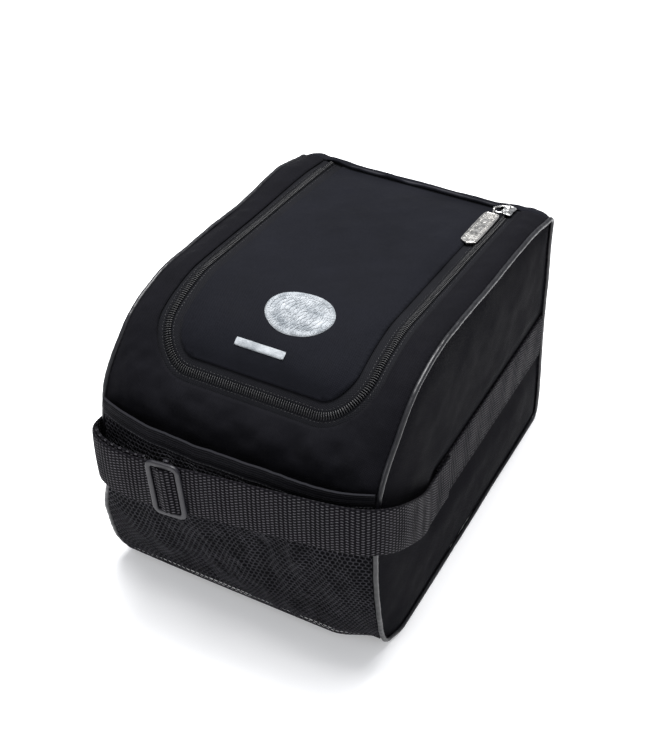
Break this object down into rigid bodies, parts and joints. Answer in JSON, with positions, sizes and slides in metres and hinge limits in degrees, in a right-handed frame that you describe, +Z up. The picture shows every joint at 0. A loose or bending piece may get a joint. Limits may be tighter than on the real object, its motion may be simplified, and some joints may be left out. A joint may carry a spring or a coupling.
{
  "type": "shoe bag",
  "caption": "Soft box-shaped shoe bag with a padded zip-round lid, a mesh pocket on the sloping front and an adjustable webbing carry handle.",
  "frame": {"origin": "centre of the base, on the surface the bag stands on", "axes": "+X across the bag, to the right when looking at the mesh pocket from the front; +Y from the pocket end to the lid's fold; +Z up"},
  "size_m": [0.2225, 0.3224, 0.223],
  "materials": {
    "body_fabric": "black woven polyester with a fine plain weave and a soft sheen",
    "lid_fabric": "blue-black woven polyester",
    "base_fabric": "black coated polyester",
    "piping": "grey-black vinyl piping, glossy",
    "lining_fabric": "thin black lining cloth",
    "board": "stiff base sheet",
    "tape": "woven tape",
    "coil": "nylon coil",
    "mesh": "open knitted mesh",
    "elastic": "ribbed elastic binding",
    "webbing": "heavy ribbed webbing",
    "foam": "soft foam sheet",
    "embroidery": "silver-white satin stitch",
    "bright_metal": "bright nickel plating",
    "tag_metal": "brushed nickel with a darkened relief",
    "buckle_plastic": "moulded acetal, grey-plum"
  },
  "bodies": {
    "bag": {"front_top_panel": "body_fabric", "back_panel": "body_fabric", "bottom_panel": "base_fabric", "side_panel_right": "body_fabric", "side_panel_left": "body_fabric", "piping_right": "piping", "piping_left": "piping", "lining": "lining_fabric", "base_board": "board", "seam_tape_right": "tape", "seam_tape_left": "tape", "zip_tape_body": "tape", "zip_coil_body": "coil", "mesh_pocket": "mesh", "pocket_binding": "elastic", "side_webbing_right": "webbing", "side_webbing_left": "webbing"},
    "lid": {"lid_panel": "lid_fabric", "lid_foam": "foam", "lid_lining": "lining_fabric", "zip_tape_lid": "tape", "zip_coil_lid": "coil", "badge_patch": "embroidery", "badge_bar": "embroidery"},
    "slider": {"zip_slider": "bright_metal"},
    "ring": {"pull_ring": "bright_metal"},
    "tag": {"pull_tag": "tag_metal"},
    "handle": {"handle_webbing": "webbing", "handle_backing": "webbing"},
    "buckle": {"tri_glide": "buckle_plastic"}
  },
  "joints": [
    {"name": "lid_open", "type": "hinge", "parent": "bag", "child": "lid", "pos_m": [0, 0.1265, 0.208], "axis": [-1, 0, 0], "range_deg": [0, 110]},
    {"name": "zip_travel", "type": "slide", "parent": "lid", "child": "slider", "axis": [0, -0.997, 0.0777], "range_m": [0, 0.15]},
    {"name": "ring_lift", "type": "hinge", "parent": "slider", "child": "ring", "pos_m": [0.074, 0.11822, 0.21155], "axis": [-0.788, 0.6138, -0.0478], "range_deg": [0, 110]},
    {"name": "tag_lift", "type": "hinge", "parent": "ring", "child": "tag", "pos_m": [0.06661, 0.1088, 0.21229], "axis": [-1, 0, 0], "range_deg": [0, 40]},
    {"name": "handle_swing", "type": "hinge", "parent": "bag", "child": "handle", "pos_m": [0, -0.057, 0.092], "axis": [-1, 0, 0], "range_deg": [-25, 3], "stiffness_Nm_per_rad": 1},
    {"name": "buckle_slide", "type": "slide", "parent": "handle", "child": "buckle", "axis": [0.9921, 0.0397, 0.1191], "range_m": [0, 0.06]}
  ]
}
